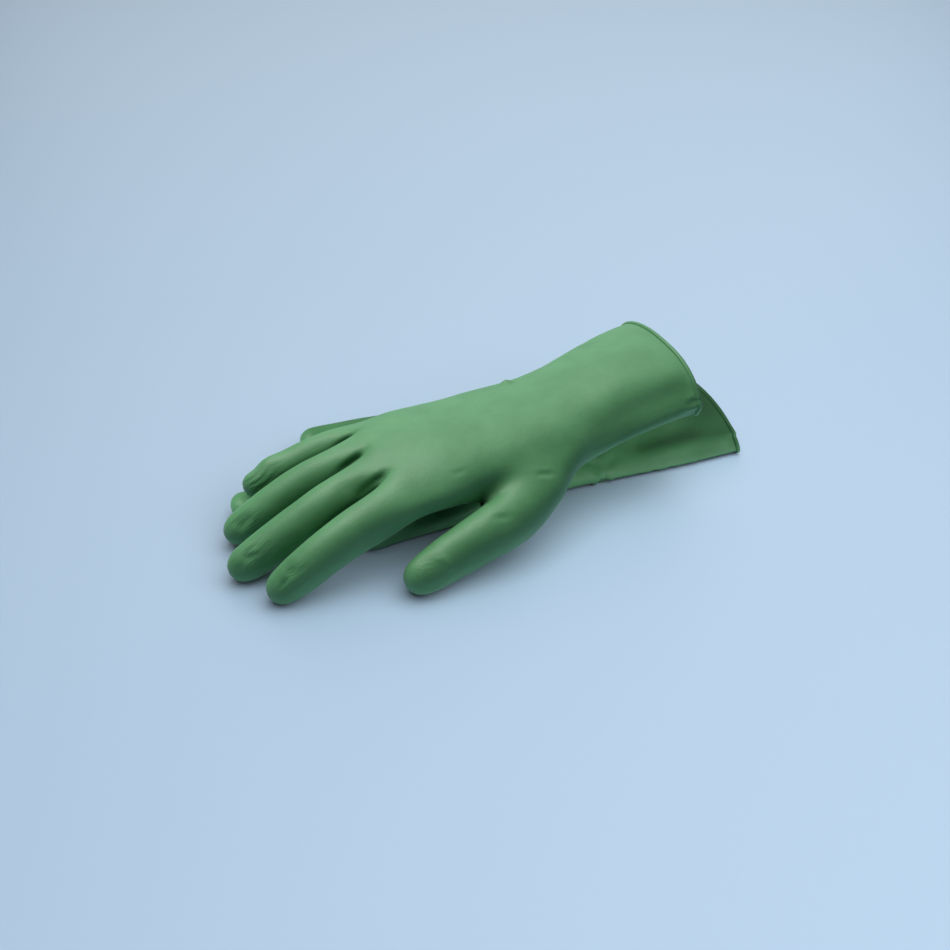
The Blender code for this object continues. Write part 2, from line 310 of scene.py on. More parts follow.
@dataclass(frozen=True)
class Section:
    """One cross-section of the palm or gauntlet, in millimetres."""

    x: float
    y: float
    z: float
    half: float                          # half the width
    rise: float                          # height of the back above z
    drop: float                          # depth of the palm below z
    root: float = 0.0                    # 0 = columns evenly round, 1 = columns at the finger roots
    flat: bool = False                   # the underside lies on the floor
    over: float = 2.2                    # squareness of the upper half
    under: float = 2.2                   # squareness of the lower half
    crease: float = 0.0                  # how low a side is pinched, as a share of drop; minus: thumb's side

    EVEN = tuple(-math.cos(math.pi * (j + 1) / (COLUMNS + 1)) for j in range(COLUMNS))
    ROOTS = (-0.95, -0.70, -0.43, -0.18, 0.08, 0.32, 0.55, 0.77, 0.95)
    FLAT_WIDTH = 0.97                    # of a flat underside, as a share of the width
    FLAT_EDGE = 0.9                      # the outermost points are drawn up a little
    EDGE_LIFT = 0.86
    CREASE_POWER = 4                     # how close to the side a crease stays

    @staticmethod
    def height(share: float, power: float) -> float:
        """Return the height of a rounded outline at a share of its half width."""
        return max(0.0, 1.0 - abs(share) ** power) ** (1 / power)

    def ring(self, side: Side) -> list[Vector]:
        """Return the cage points round this section.

        Args:
            side: which hand.

        Returns:
            The back from the thumb's side to the little finger's, that side, the palm the other way, and the
            thumb's side.
        """
        half, rise = self.half / RING_LIMIT, self.rise / RING_LIMIT
        drop = self.drop if self.flat else self.drop / RING_LIMIT
        shares = [even + (root - even) * self.root for even, root in zip(self.EVEN, self.ROOTS)]
        creased = [max(0.0, math.copysign(share, share * self.crease)) for share in shares]
        sinks = [drop * abs(self.crease) * share ** self.CREASE_POWER for share in creased]
        top = [(half * share, rise * self.height(share, self.over) - sink)
               for share, sink in zip(shares, sinks)]
        if self.flat:
            depths = [1.0 if abs(share) < self.FLAT_EDGE else self.EDGE_LIFT for share in shares]
            low = [(half * share * self.FLAT_WIDTH, -drop * depth) for share, depth in zip(shares, depths)]
        else:
            low = [(half * share, -drop * self.height(share, self.under) - sink)
                   for share, sink in zip(shares, sinks)]
        far_pinch, near_pinch = (drop * max(0.0, self.crease * way) for way in (1, -1))
        outline = [*top, (half, -far_pinch), *low[::-1], (-half, -near_pinch)]
        return [Vector((self.x, self.y + side.value * across, self.z + up)) for across, up in outline]


@dataclass(frozen=True)
class Loop:
    """One cross-section of a digit, in millimetres."""

    x: float
    y: float
    z: float
    radius: float
    wide: float = 1.0                    # how much wider than high
    turn: float = 0.0                    # degrees about Z, away from the other digits

    @property
    def centre(self) -> Vector:
        """The loop's middle."""
        return Vector((self.x, self.y, self.z))


@dataclass(frozen=True)
class Axes:
    """A loop's place and directions: along the digit, across to the little finger, and up."""

    centre: Vector
    along: Vector
    across: Vector
    up: Vector


@dataclass
class Digit:
    """A finger or thumb: its loops from the root to the tip, and the body it belongs to."""

    name: str
    loops: tuple[Loop, ...]
    body: str                            # the moving body, or the hand's own where the digit stays put
    seam: int = 0                        # the loop where the digit's own piece starts
    tip: tuple[tuple[float, float], ...] = ((0.55, 0.87), (1.0, 0.55))      # push and size of each ring
    tip_end: float = 1.26

    def axes(self, side: Side) -> list[Axes]:
        """Return the axes of each loop.

        Args:
            side: which hand.

        Returns:
            One set of axes for each loop.
        """
        found = []
        for number, loop in enumerate(self.loops):
            before = self.loops[max(number - 1, 0)].centre
            after = self.loops[min(number + 1, len(self.loops) - 1)].centre
            along = (after - before).normalized()
            along.rotate(Euler((0, 0, math.radians(loop.turn * side.value))))
            across = Vector((0, 0, 1)).cross(along).normalized() * -side.value
            up = along.cross(across).normalized()
            found.append(Axes(loop.centre, along, across, up if up.z > 0 else -up))
        return found

    @staticmethod
    def points(loop: Loop, axes: Axes, scale: float = 1.0, push: float = 0.0) -> list[Vector]:
        """Return the cage points round one loop.

        Args:
            loop: the loop.
            axes: its axes.
            scale: how much smaller or larger it is made.
            push: how far it moves along the digit.

        Returns:
            Eight points, from the top on the thumb's side over to the middle of that side.
        """
        radius = loop.radius * scale / LOOP_LIMIT
        ring = []
        for i in range(LOOP):
            angle = math.radians(LOOP_START - 360 / LOOP * i)
            sideways = axes.across * math.cos(angle) * radius * loop.wide
            ring.append(axes.centre + axes.along * push + sideways + axes.up * math.sin(angle) * radius)
        return ring


@dataclass
class Cage:
    """Coarse quads that a subdivision surface rounds off, each marked with the part it belongs to."""

    points: list[Vector] = field(default_factory=list)
    faces: list[tuple[int, ...]] = field(default_factory=list)
    parts: list[int] = field(default_factory=list)

    def add(self, points: list[Vector]) -> list[int]:
        """Add points.

        Args:
            points: the new points.

        Returns:
            Their numbers.
        """
        start = len(self.points)
        self.points.extend(points)
        return list(range(start, len(self.points)))

    def face(self, corners: tuple[int, ...], part: int) -> None:
        """Add one face of a part."""
        self.faces.append(corners)
        self.parts.append(part)

    def join(self, here: list[int], there: list[int], part: int) -> None:
        """Join two closed rows of points with quads.

        Args:
            here: the first row.
            there: the second row, of the same length.
            part: the part that the quads belong to.
        """
        for i in range(len(here)):
            following = (i + 1) % len(here)
            self.face((here[i], here[following], there[following], there[i]), part)

    def cap(self, ring: list[int], point: Vector, part: int) -> None:
        """Close a ring of eight round one point.

        Args:
            ring: the ring's numbers.
            point: the point in its middle.
            part: the part that the quads belong to.
        """
        middle = self.add([point])[0]
        for i in range(0, LOOP, 2):
            self.face((middle, ring[i - 1], ring[i], ring[i + 1]), part)

    def skin(self, levels: int) -> "Skin":
        """Round the cage off with a subdivision surface.

        Args:
            levels: how many times the quads are divided.

        Returns:
            The smooth surface, facing out.
        """
        mesh = bpy.data.meshes.new("cage")
        mesh.from_pydata(self.points, [], self.faces)
        mesh.polygons.foreach_set("material_index", self.parts)
        edit = bmesh.new()
        edit.from_mesh(mesh)
        bmesh.ops.recalc_face_normals(edit, faces=edit.faces)
        highest = max(edit.faces, key=lambda face: face.calc_center_median().z)
        if highest.normal.z < 0:
            bmesh.ops.reverse_faces(edit, faces=edit.faces)
        edit.to_mesh(mesh)
        edit.free()
        holder = bpy.data.objects.new("cage", mesh)
        bpy.context.scene.collection.objects.link(holder)
        rounding = holder.modifiers.new("round", "SUBSURF")
        rounding.levels = levels
        bpy.context.view_layer.update()
        smooth = holder.evaluated_get(bpy.context.evaluated_depsgraph_get()).to_mesh()
        points = np.empty(len(smooth.vertices) * 3)
        smooth.vertices.foreach_get("co", points)
        corners = np.empty(len(smooth.loops), np.int32)
        smooth.loops.foreach_get("vertex_index", corners)
        parts = np.empty(len(smooth.polygons), np.int32)
        smooth.polygons.foreach_get("material_index", parts)
        bpy.data.objects.remove(holder)
        bpy.data.meshes.remove(mesh)
        return Skin(points.reshape(-1, 3), corners.reshape(-1, 4), parts)


@dataclass
class Skin:
    """A smooth surface of quads in millimetres, with the part that each quad belongs to."""

    points: np.ndarray
    quads: np.ndarray
    parts: np.ndarray

    SAFE_BEND = 0.6                      # share of a bend's radius that a wall may fill
    MILDEST_BEND = 1e-6                  # one over the radius of what counts as flat
    SHORTEST_RUN = 1e-9

    def normals(self) -> np.ndarray:
        """Find the outward direction at each point.

        Returns:
            One direction of length 1 for each point.
        """
        facing = face_directions(self.points, self.quads)
        total = np.zeros_like(self.points)
        for corner in range(4):
            np.add.at(total, self.quads[:, corner], facing)
        return unit(total)

    def press(self, marks: list["Mark"]) -> None:
        """Move the surface in and out, but not into the floor.

        Args:
            marks: the folds, dents and ripples, which all act on the same smooth start.
        """
        facing = self.normals()
        total = np.zeros(len(self.points))
        for mark in marks:
            total += mark.height(self.points, facing)
        self.points = self.points + facing * total[:, None]
        self.points[:, 2] = np.maximum(self.points[:, 2], 0.0)

    def depth_limit(self, facing: np.ndarray) -> np.ndarray:
        """Find how deep a wall may go at each point before a tight bend turns it inside out.

        Args:
            facing: the outward direction at each point.

        Returns:
            One depth for each point.
        """
        following = np.roll(self.quads, -1, axis=1)
        start = np.concatenate([self.quads.ravel(), following.ravel()])
        end = np.concatenate([following.ravel(), self.quads.ravel()])
        run = self.points[start] - self.points[end]
        bend = 2 * (facing[start] * run).sum(axis=1) / np.maximum((run ** 2).sum(axis=1), self.SHORTEST_RUN)
        sharpest = np.full(len(self.points), self.MILDEST_BEND)
        np.maximum.at(sharpest, start, bend)
        return self.SAFE_BEND / sharpest

    def edge_loop(self) -> np.ndarray:
        """Follow the edge of the open mouth.

        Returns:
            The numbers of its points, in order.
        """
        known = {(int(near), int(far)) for near, far in face_sides(self.quads)}
        following = {near: far for near, far in known if (far, near) not in known}
        start = min(following)
        order = [start]
        while following[order[-1]] != start:
            order.append(following[order[-1]])
        return np.array(order)

    def piece(self, name: str, chosen: np.ndarray, outer: float, inner: float) -> bpy.types.Object:
        """Make a closed wall from some of the quads.

        Args:
            name: the piece's name.
            chosen: which quads.
            outer: how far the outer face lies under the surface.
            inner: how far the inner face lies under the surface.

        Returns:
            The new object, in metres in the CAD's frame.
        """
        facing = self.normals()
        limit = self.depth_limit(facing)
        used, local = np.unique(self.quads[chosen], return_inverse=True)
        quads = local.reshape(-1, 4)
        count = len(used)
        start = np.minimum(outer, limit[used])
        end = start + inner - outer if outer > 0 else np.minimum(inner, limit[used])
        top = self.points[used] - facing[used] * start[:, None]
        low = self.points[used] - facing[used] * end[:, None]
        pairs = face_sides(quads)
        keys = pairs[:, 0].astype(np.int64) * count + pairs[:, 1]
        back = pairs[:, 1].astype(np.int64) * count + pairs[:, 0]
        rim = pairs[~np.isin(keys, back)]
        walls = np.stack([rim[:, 1], rim[:, 0], rim[:, 0] + count, rim[:, 1] + count], axis=1)
        faces = np.concatenate([quads, quads[:, ::-1] + count, walls])
        points = np.concatenate([top, low])
        flat = unit(face_directions(points, walls))
        near = facing[used]
        directions = np.concatenate([near[quads.ravel()], -near[quads[:, ::-1].ravel()],
                                     np.repeat(flat, 4, axis=0)])
        return solid(name, points, faces, directions)


def solid(name: str, points: np.ndarray, faces: np.ndarray,
          directions: np.ndarray | None = None) -> bpy.types.Object:
    """Make a mesh object from points in millimetres.

    Args:
        name: the object's name.
        points: one row for each point.
        faces: one row of four numbers for each face.
        directions: the shading direction at each corner of each face.

    Returns:
        The new object.
    """
    mesh = bpy.data.meshes.new(name)
    placed = (points + np.array(ORIGIN)) * MM
    mesh.vertices.add(len(placed))
    mesh.vertices.foreach_set("co", placed.astype(np.float32).ravel())
    mesh.loops.add(faces.size)
    mesh.loops.foreach_set("vertex_index", faces.astype(np.int32).ravel())
    mesh.polygons.add(len(faces))
    mesh.polygons.foreach_set("loop_start", np.arange(0, faces.size, 4, dtype=np.int32))
    mesh.update(calc_edges=True)
    mesh.shade_smooth()
    if directions is not None:
        mesh.normals_split_custom_set(directions.astype(float).tolist())
    kept = mesh.attributes.new(REST, "FLOAT_VECTOR", "POINT")
    kept.data.foreach_set("vector", points.astype(np.float32).ravel())
    made = bpy.data.objects.new(name, mesh)
    bpy.context.scene.collection.objects.link(made)
    return made


class Mark:
    """Something that raises or lowers the surface; a negative rise presses it in."""

    def height(self, points: np.ndarray, facing: np.ndarray) -> np.ndarray:
        """Work out how far each point moves.

        Args:
            points: the surface's points in millimetres.
            facing: the outward direction at each point.

        Returns:
            One distance for each point, positive outwards.
        """
        raise NotImplementedError


@dataclass(frozen=True)
class Fold(Mark):
    """A groove or a ridge along a line on the surface, fading at its ends."""

    path: tuple[tuple[float, float, float], ...]
    width: float
    rise: float                          # negative for a groove
    fade: tuple[float, float] = (0.25, 0.25)     # share of the length that fades in and out
    lip: float = 0.0                     # share of the rise that comes back on both sides

    LIP_PLACE = 1.9                      # widths from the line to the lip
    LIP_NARROW = 1.5                     # how much narrower the lip is
    SHORTEST_FADE = 1e-3

    def height(self, points: np.ndarray, facing: np.ndarray) -> np.ndarray:
        """Work out how far each point moves.

        Args:
            points: the surface's points in millimetres.
            facing: the outward direction at each point.

        Returns:
            One distance for each point, positive outwards.
        """
        line = np.array(self.path, float)
        steps = np.linalg.norm(np.diff(line, axis=0), axis=1)
        start = np.concatenate([[0.0], np.cumsum(steps)])
        best = np.full(len(points), np.inf)
        place = np.zeros(len(points))
        for number, step in enumerate(steps):
            run = line[number + 1] - line[number]
            share = np.clip(((points - line[number]) @ run) / step ** 2, 0, 1)
            gap = np.linalg.norm(points - line[number] - share[:, None] * run, axis=1)
            closer = gap < best
            best[closer] = gap[closer]
            place[closer] = (start[number] + share[closer] * step) / start[-1]
        first, last = (max(share, self.SHORTEST_FADE) for share in self.fade)
        ends = np.clip(np.minimum(place / first, (1 - place) / last), 0, 1)
        ends = ends * ends * (3 - 2 * ends)
        reach = best / self.width
        shape = np.exp(-reach ** 2) - self.lip * np.exp(-(reach - self.LIP_PLACE) ** 2 * self.LIP_NARROW)
        return self.rise * shape * ends


@dataclass(frozen=True)
class Dent(Mark):
    """A soft hollow or swelling round one place."""

    centre: tuple[float, float, float]
    radius: float
    rise: float

    def height(self, points: np.ndarray, facing: np.ndarray) -> np.ndarray:
        """Work out how far each point moves.

        Args:
            points: the surface's points in millimetres.
            facing: the outward direction at each point.

        Returns:
            One distance for each point, positive outwards.
        """
        gap = np.linalg.norm(points - np.array(self.centre), axis=1)
        return self.rise * np.exp(-(gap / self.radius) ** 2)


@dataclass(frozen=True)
class Ripples(Mark):
    """Fine parallel wrinkles that wander, in a patch round one place."""

    centre: tuple[float, float, float]
    heading: tuple[float, float, float]  # across the wrinkles
    radius: float
    pitch: float
    rise: float
    wander: float = 0.8                  # in pitches

    FAINTEST = 0.02                      # strength where the patch ends
    DRIFT_PITCHES = 3.2                  # size of the bends in the wrinkles
    BREAK_PITCHES = 1.7                  # size of the gaps between them
    BREAK_SHIFT = Vector((7, 3, 5))      # keeps the gaps apart from the bends
    EVEN_PART = 0.65
    BROKEN_PART = 0.9

    def height(self, points: np.ndarray, facing: np.ndarray) -> np.ndarray:
        """Work out how far each point moves.

        Args:
            points: the surface's points in millimetres.
            facing: the outward direction at each point.

        Returns:
            One distance for each point, positive outwards.
        """
        offset = points - np.array(self.centre)
        patch = np.exp(-(np.linalg.norm(offset, axis=1) / self.radius) ** 2)
        near = patch > self.FAINTEST
        heading = np.array(self.heading) / np.linalg.norm(self.heading)
        result = np.zeros(len(points))
        drift = np.array([noise.noise(Vector(point) / (self.pitch * self.DRIFT_PITCHES))
                          for point in points[near]])
        broken = np.array([noise.noise(Vector(point) / (self.pitch * self.BREAK_PITCHES) + self.BREAK_SHIFT)
                           for point in points[near]])
        phase = (offset[near] @ heading) / self.pitch * math.tau + drift * self.wander * math.tau
        result[near] = self.rise * patch[near] * np.sin(phase) * (self.EVEN_PART + self.BROKEN_PART * broken)
        return result


@dataclass(frozen=True)
class Rings(Mark):
    """Concentric oval ripples, as a thumb's end shows where the tip of the former was round."""

    centre: tuple[float, float, float]
    long: tuple[float, float, float]     # direction of the oval's long axis
    size: tuple[float, float]            # half lengths of the outermost ring
    pitch: float
    rise: float
    rim: float                           # height of the ridge round the oval

    REACH = 2.0                          # how far out the work goes, in half lengths
    DRIFT_PITCHES = 2.5
    FADE_AT = 0.92                       # where the ripples die out, just inside the rim
    FADE_STEEP = 14
    RIM_NARROW = 5.5
    DRIFT_TURN = 0.5                     # how far the drift shifts a ripple, in pitches
    WAVE_EVEN = 0.7                      # steady part of the ripples, and the part that the drift breaks up
    WAVE_BROKEN = 0.8
    RIM_EVEN = 0.8                       # the same for the rim
    RIM_BROKEN = 0.7

    def height(self, points: np.ndarray, facing: np.ndarray) -> np.ndarray:
        """Work out how far each point moves.

        Args:
            points: the surface's points in millimetres.
            facing: the outward direction at each point.

        Returns:
            One distance for each point, positive outwards.
        """
        offset = points - np.array(self.centre)
        long = np.array(self.long) / np.linalg.norm(self.long)
        along = offset @ long
        rest = np.linalg.norm(offset - along[:, None] * long, axis=1)
        reach = np.sqrt((along / self.size[0]) ** 2 + (rest / self.size[1]) ** 2)
        near = reach < self.REACH
        drift = np.zeros(len(points))
        drift[near] = [noise.noise(Vector(point) / (self.pitch * self.DRIFT_PITCHES)) for point in points[near]]
        inside = 1 / (1 + np.exp((reach - self.FADE_AT) * self.FADE_STEEP))
        waves = np.sin((reach * self.size[1] / self.pitch + drift * self.DRIFT_TURN) * math.tau)
        border = np.exp(-((reach - 1.0) * self.RIM_NARROW) ** 2)
        rippled = self.rise * inside * waves * (self.WAVE_EVEN + self.WAVE_BROKEN * drift)
        return rippled + self.rim * border * (self.RIM_EVEN + self.RIM_BROKEN * drift)


@dataclass(frozen=True)
class Swell(Mark):
    """The slight unevenness of a soft wall, all over."""

    size: float
    rise: float
    seed: float

    def height(self, points: np.ndarray, facing: np.ndarray) -> np.ndarray:
        """Work out how far each point moves.

        Args:
            points: the surface's points in millimetres.
            facing: the outward direction at each point.

        Returns:
            One distance for each point, positive outwards.
        """
        shift = Vector((self.seed, self.seed * 0.7, -self.seed))
        return self.rise * np.array([noise.noise(Vector(point) / self.size + shift) for point in points])


@dataclass
class Glove:
    """One glove: its dipped skin, the rolled edge of its cuff and the flock inside."""

    hand: str
    side: Side
    sections: tuple[Section, ...]
    digits: tuple[Digit, ...]
    crotches: tuple[float, float, float]     # X of the webs, from the index finger's to the little finger's
    web_reach: tuple[float, float, float]    # how far each web's skin runs on past the last section
    marks: list[Mark]
    levels: int                              # how many times the skin's quads are divided
    thumb_row: int = 4                       # the first of the three sections that the thumb grows from
    wall: float = 1.1
    flock_gap: float = 0.15
    flock: float = 0.8
    flock_start: float = 3.0                 # from the mouth to the flock's edge
    thumb_clear: float = 36.0                # the flock sleeve is open round the thumb's root
    finger_clear: float = 8.0                # and ends this far before the palm does
    roll: float = 1.35                       # radius of the cuff's rolled edge
    roll_proud: float = 0.45                 # how far its middle stands out of the wall's
    roll_ahead: float = 0.85                 # how far the roll's middle is past the mouth, in radii
    roll_clear: float = 1.08                 # lowest height of the roll's middle, in radii
    roll_waver: float = 0.05                 # how much its radius wanders
    roll_wave: float = 9.0                   # and over what length
    roll_sides: int = 16
    blend_start: float = 1.0
    blend_length: float = 22.0

    def body(self) -> str:
        """Return the name of the hand's own body."""
        return f"{self.hand}_glove"

    def finger_root(self, cage: Cage, front: list[int], webs: list[int], finger: int) -> list[int]:
        """Return the eight shared points where a finger leaves the palm.

        Args:
            cage: the cage.
            front: the palm's last ring.
            webs: the points in the three webs.
            finger: 0 for the index finger to 3 for the little one.

        Returns:
            The points in the order of a digit's loop.
        """
        first = 2 * finger
        last = RING - 2 - first
        near = front[THUMB_SIDE] if finger == 0 else webs[finger - 1]
        far = front[LITTLE_SIDE] if finger == len(webs) else webs[finger]
        return front[first:first + 3] + [far] + front[last - 2:last + 1] + [near]

    def cage(self) -> Cage:
        """Draw the coarse quads of the whole glove.

        Returns:
            The cage, marked PALM for the palm, STUB at the digits' roots and 1 to 5 for the digits.
        """
        cage = Cage()
        rings = [cage.add(section.ring(self.side)) for section in self.sections]
        for row, (here, there) in enumerate(zip(rings, rings[1:])):
            for i in range(RING):
                if row in (self.thumb_row, self.thumb_row + 1) and i >= RING - 2:
                    continue
                following = (i + 1) % RING
                cage.face((here[i], here[following], there[following], there[i]), PALM)
        back, middle, fore = rings[self.thumb_row:self.thumb_row + 3]
        side, low = THUMB_SIDE, THUMB_SIDE - 1
        roots = {"thumb": [back[0], middle[0], fore[0], fore[side],
                           fore[low], middle[low], back[low], back[side]]}
        front = rings[-1]
        webs = []
        for number, (x, reach) in enumerate(zip(self.crotches, self.web_reach), 1):
            top, under = cage.points[front[2 * number]], cage.points[front[RING - 2 - 2 * number]]
            top.x -= reach
            under.x -= reach
            webs.extend(cage.add([Vector((x, (top.y + under.y) / 2, (top.z + under.z) / 2))]))
        for finger, name in enumerate(("index", "middle", "ring", "little")):
            roots[name] = self.finger_root(cage, front, webs, finger)
        for number, digit in enumerate(self.digits, 1):
            self.add_digit(cage, digit, roots[digit.name], number)
        return cage

    def add_digit(self, cage: Cage, digit: Digit, root: list[int], number: int) -> None:
        """Grow one digit from its root.

        Args:
            cage: the cage.
            digit: the digit.
            root: the eight points that it grows from.
            number: its part number.
        """
        axes = digit.axes(self.side)
        previous = root
        for place, loop in enumerate(digit.loops):
            ring = cage.add(digit.points(loop, axes[place]))
            cage.join(previous, ring, STUB if place <= digit.seam else number)
            previous = ring
        last = digit.loops[-1]
        for push, size in digit.tip:
            ring = cage.add(digit.points(last, axes[-1], size, last.radius * push))
            cage.join(previous, ring, number)
            previous = ring
        cage.cap(previous, last.centre + axes[-1].along * last.radius * digit.tip_end, number)

    def build(self, latex: bpy.types.Material, flock: bpy.types.Material) -> None:
        """Make every piece of the glove.

        Args:
            latex: the skin's material.
            flock: the lining's material.
        """
        skin = self.cage().skin(self.levels)
        skin.press(self.marks)
        self.build_skin(skin, latex)
        self.build_roll(skin, latex)
        self.build_flock(skin, flock)

    def build_skin(self, skin: Skin, latex: bpy.types.Material) -> None:
        """Make the hand's piece and one piece for each digit.

        Args:
            skin: the glove's surface.
            latex: its material.
        """
        palm = skin.piece(f"{self.hand}_hand_skin", np.isin(skin.parts, (PALM, STUB)), 0.0, self.wall)
        finish(palm, latex, f"{self.hand}_hand_shell")
        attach(palm, self.body())
        report(palm)
        for number, digit in enumerate(self.digits, 1):
            made = skin.piece(f"{self.hand}_{digit.name}_skin", skin.parts == number, 0.0, self.wall)
            finish(made, latex, f"{self.hand}_{digit.name}_stall")
            if digit.body == self.body():
                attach(made, self.body())
            else:
                axes = digit.axes(self.side)[digit.seam]
                self.body()
                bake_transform(made)
            report(made)

    def build_roll(self, skin: Skin, latex: bpy.types.Material) -> None:
        """Roll the cuff's edge into a bead that follows the mouth.

        Args:
            skin: the glove's surface.
            latex: its material.
        """
        order = skin.edge_loop()
        rim = skin.points[order]
        out = skin.normals()[order]
        out[:, 0] = 0
        out = unit(out)
        ahead = np.array([1.0, 0.0, 0.0])
        centre = rim + ahead * self.roll * self.roll_ahead + out * (self.roll_proud - self.wall / 2)
        centre[:, 2] = np.maximum(centre[:, 2], self.roll * self.roll_clear)
        waver = np.array([noise.noise(Vector(point) / self.roll_wave) for point in rim])
        radius = self.roll * (1 + self.roll_waver * waver)
        here = np.arange(len(rim))
        following = np.roll(here, -1)
        rows, faces = [], []
        for side in range(self.roll_sides):
            angle = math.tau * side / self.roll_sides
            rows.append(centre + ahead * (radius * math.cos(angle))[:, None]
                        + out * (radius * math.sin(angle))[:, None])
            first, second = side * len(rim), (side + 1) % self.roll_sides * len(rim)
            faces.append(np.stack([first + here, first + following, second + following, second + here], axis=1))
        points, faces = np.concatenate(rows), np.concatenate(faces)
        outward = points[faces].mean(axis=1) - np.tile(centre, (self.roll_sides, 1))
        if (face_directions(points, faces) * outward).sum() < 0:
            faces = faces[:, ::-1]
        made = solid(f"{self.hand}_cuff_roll", points, faces)
        finish(made, latex, f"{self.hand}_cuff_bead")
        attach(made, self.body())
        report(made)

    def build_flock(self, skin: Skin, flock: bpy.types.Material) -> None:
        """Line the palm and gauntlet.

        Args:
            skin: the glove's surface.
            flock: the lining's material.
        """
        mouth = self.sections[0].x - self.flock_start
        middle = skin.points[skin.quads].mean(axis=1)
        start = self.wall + self.flock_gap
        thumb = np.array(self.digits[-1].loops[0].centre)
        clear = np.linalg.norm(middle - thumb, axis=1) > self.thumb_clear
        end = self.sections[-1].x + self.finger_clear
        chosen = (skin.parts == PALM) & (middle[:, 0] < mouth) & (middle[:, 0] > end) & clear
        made = skin.piece(f"{self.hand}_flock_sleeve", chosen, start, start + self.flock)
        finish(made, flock, f"{self.hand}_flock_lining")
        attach(made, self.body())
        report(made)


def finish(piece: bpy.types.Object, material: bpy.types.Material, node: str) -> None:
    """Dress a piece and hide the CAD node that it replaces.

    Args:
        piece: the piece.
        material: its material.
        node: the CAD node that it replaces.
    """
    piece.data.materials.append(material)
    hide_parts(node)


def report(piece: bpy.types.Object) -> None:
    """Log one piece with its number of faces."""
    log.info("%s: %d faces", piece.name, len(piece.data.polygons))


def right_marks() -> list[Mark]:
    """List the folds, dents and ripples of the upper glove.

    Returns:
        The marks, webs first.
    """
    webs = [
        Fold(((-116, -28, 40), (-107, -27, 45), (-99, -25.5, 50), (-91, -22.5, 53.5)), 2.6, -3.0, (0.4, 0.45)),
        Fold(((-118, -1.5, 40), (-109, -0.6, 45), (-101, 0, 50), (-93, 2.5, 54)), 2.4, -2.8, (0.4, 0.45)),
        Fold(((-112, 23, 40), (-103, 22.8, 45), (-96, 22, 49.5), (-89, 20.5, 52.5)), 2.4, -2.4, (0.4, 0.45)),
        Fold(((-53, -50, 38), (-44, -51.5, 42), (-36, -51, 45), (-24, -49, 48.5)), 6.0, -2.0, (0.3, 0.6)),
    ]
    knuckles = [
        Dent((-92, -33, 52), 10.0, 0.8), Dent((-93, -8, 54), 8.0, 0.8), Dent((-91, 14, 54), 8.0, 0.6),
        Dent((-118, -22, 45), 5.0, -0.6), Dent((-111, -19, 50), 5.0, 0.5),
        Dent((-142, 38, 37), 6.5, 1.3), Dent((-151, 40, 32), 4.5, -1.2),
        Dent((-47, -72, 34), 6.5, -0.9), Dent((-6, -60, 34), 9.0, 1.2),
    ]
    creases = [
        Fold(((-20, -53, 46), (-14, -55, 45), (-10, -56, 44.5), (-6, -58, 42.5)), 1.5, -0.7, (0.3, 0.4), 0.3),
        Fold(((-66, -43, 52), (-61, -43.5, 52.5), (-55, -43, 52.5)), 1.7, -0.28, (0.4, 0.4), 0.3),
        Fold(((-55, -69, 36.5), (-48, -71, 36), (-42, -71, 36)), 1.8, -0.3, (0.4, 0.4), 0.3),
        Fold(((91, -41, 58), (82, -41, 55)), 1.8, -0.8, (0.0, 0.7), 0.3),
        Fold(((91, -40, 51), (79, -40.5, 50)), 1.7, -0.8, (0.0, 0.7), 0.3),
    ]
    gauntlet = [
        Fold(((92, -40, 55), (71, -39, 51), (47, -38.5, 46), (28, -42, 43), (14, -44, 41)), 3.6, 0.9,
             (0.0, 0.3)),
        Fold(((92, -36, 66), (71, -35, 62), (47, -35, 58), (28, -39, 54), (14, -43, 50)), 7.5, -1.6,
             (0.05, 0.5)),
        Dent((1, 23, 59.5), 3.4, 2.6), Dent((7, 22, 61), 5.0, -1.2), Dent((33, 26, 64), 7.0, -1.1),
        Dent((47, 26, 67), 7.0, 0.9), Dent((60, 28, 69), 7.0, -0.6),
    ]
    across = (-0.35, 0.75, 0.55)
    tips = [
        Dent((-163, -52, 24), 4.0, -1.2), Dent((-167, -53, 18), 4.0, -0.9),
        Ripples((-163, -52, 23), across, 9.0, 4.6, 0.26), Ripples((-163, -52, 23), across, 9.0, 1.7, 0.12),
        Dent((-177, -25, 20), 3.8, -1.2), Dent((-182, -24, 13), 4.0, -0.9),
        Ripples((-174, -25, 21), across, 11.0, 3.8, 0.18), Ripples((-172, -25, 22), across, 12.0, 1.6, 0.13),
        Dent((-170, 8, 19), 3.8, -1.2), Dent((-166, 8, 22), 3.2, -0.7),
        Ripples((-168, 8, 19), across, 9.0, 3.8, 0.18), Ripples((-166, 8, 21), across, 11.0, 1.6, 0.13),
        Ripples((-150, 31, 31), across, 11.0, 3.6, 0.22), Ripples((-152, 31, 30), across, 10.0, 1.7, 0.12),
        Rings((-95, -79, 19), (1.0, 0.0, 0.1), (12.0, 11.0), 2.6, 0.05, 0.35),
        Fold(((-93, -74, 25.5), (-86, -77.5, 24), (-84, -80.5, 19.5), (-89, -82, 14.5)), 1.8, 0.6, (0.3, 0.3)),
        Ripples((-96, -79, 19), (0.5, 0.3, 0.8), 9.0, 1.6, 0.06),
    ]
    return [Swell(34.0, 0.5, 2.3), Swell(13.0, 0.18, 8.1), *webs, *knuckles, *creases, *gauntlet, *tips]


